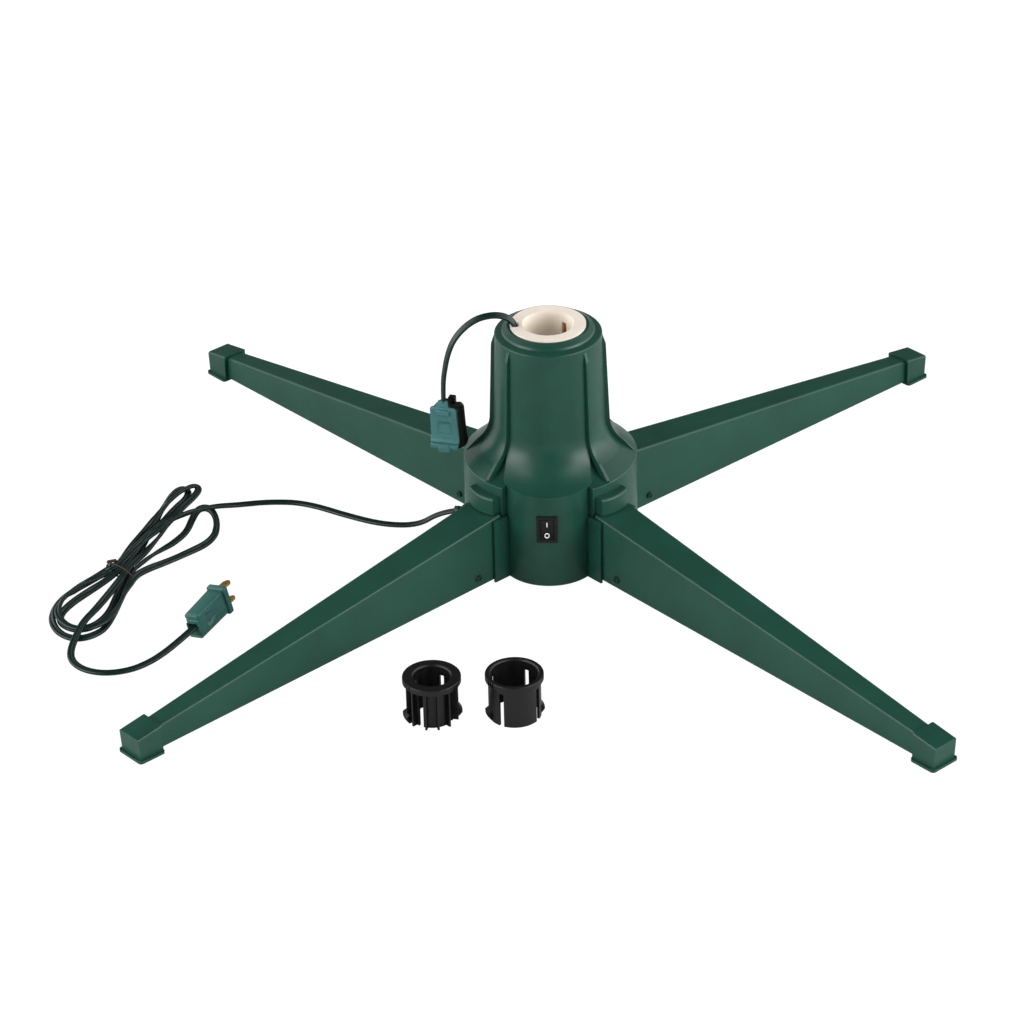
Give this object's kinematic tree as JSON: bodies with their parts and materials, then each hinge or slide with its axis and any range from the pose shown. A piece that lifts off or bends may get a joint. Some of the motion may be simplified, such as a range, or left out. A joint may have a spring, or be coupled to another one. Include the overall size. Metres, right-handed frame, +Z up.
{
  "type": "rotating christmas tree stand",
  "caption": "Motorised tree stand: a hub with a turning pole sleeve, folded steel legs with foot caps, a rocker switch, a power cord with plug, a receptacle that turns along, and pole adapters.",
  "frame": {"origin": "on the floor, under the rotor's axis, at the centre of the four legs", "axes": "+Z up along the rotor's axis, -Y towards the front, where the switch is, and the legs on the diagonals between X and Y"},
  "size_m": [0.6359, 0.5628, 0.1983],
  "materials": {
    "green_plastic": "satin moulded dark green",
    "green_paint": "satin dark green powder coat",
    "green_vinyl": "satin green vinyl",
    "cream_plastic": "satin off-white",
    "black_plastic": "satin black",
    "bearing_plastic": "natural acetal",
    "brass": "rolled",
    "screw_steel": "zinc plated",
    "motor_steel": "zinc plated",
    "tie_wire": "dark paper over wire"
  },
  "bodies": {
    "stand": {"hub_housing": "green_plastic", "base_frame": "green_plastic", "leg_front_right": "green_paint", "leg_rear_right": "green_paint", "leg_rear_left": "green_paint", "leg_front_left": "green_paint", "foot_cap_front_right": "green_plastic", "foot_cap_rear_right": "green_plastic", "foot_cap_rear_left": "green_plastic", "foot_cap_front_left": "green_plastic", "leg_screws": "screw_steel", "housing_screws": "screw_steel", "upper_bush": "bearing_plastic", "lower_bush": "bearing_plastic", "thrust_washer": "bearing_plastic", "motor_body": "motor_steel", "motor_gearbox": "motor_steel", "motor_screws": "screw_steel", "brush_block": "black_plastic", "brush_wipers": "brass", "switch_body": "black_plastic", "switch_terminals": "brass", "cord_bushing": "green_plastic", "power_cord_lead": "green_vinyl", "power_cord_hank": "green_vinyl", "power_cord_tail": "green_vinyl", "cord_tie": "tie_wire", "plug_body": "green_vinyl", "plug_fuse_door": "black_plastic", "plug_blades": "brass"},
    "rotor": {"rotor_sleeve": "cream_plastic", "grip_spring": "brass", "rotor_gear": "bearing_plastic", "gear_retaining_ring": "screw_steel", "slip_ring_carrier": "bearing_plastic", "slip_ring_live": "brass", "slip_ring_neutral": "brass", "rotor_lead": "green_vinyl", "receptacle_cord": "green_vinyl", "receptacle_body": "black_plastic", "receptacle_cover": "green_vinyl", "receptacle_contacts": "brass"},
    "pinion": {"motor_shaft": "motor_steel", "motor_pinion": "bearing_plastic"},
    "rocker": {"switch_rocker": "black_plastic"},
    "adapter_small": {"pole_adapter_small": "black_plastic"},
    "adapter_large": {"pole_adapter_large": "black_plastic"}
  },
  "joints": [
    {"name": "rotor_spin", "type": "hinge", "parent": "stand", "child": "rotor", "pos_m": [0, 0, 0.1], "axis": [0, 0, 1], "continuous": true},
    {"name": "pinion_spin", "type": "hinge", "parent": "stand", "child": "pinion", "pos_m": [0, 0.035, 0.046], "axis": [0, 0, 1], "continuous": true},
    {"name": "rocker_tilt", "type": "hinge", "parent": "stand", "child": "rocker", "pos_m": [0, -0.0642, 0.057], "axis": [1, 0, 0], "range_deg": [0, 18]},
    {"name": "adapter_small_lift", "type": "slide", "parent": "stand", "child": "adapter_small", "axis": [0, 0, 1], "range_m": [0, 0.2]},
    {"name": "adapter_large_lift", "type": "slide", "parent": "stand", "child": "adapter_large", "axis": [0, 0, 1], "range_m": [0, 0.2]}
  ],
  "couplings": [
    {"joint": "pinion_spin", "follows": "rotor_spin", "ratio": -4}
  ]
}
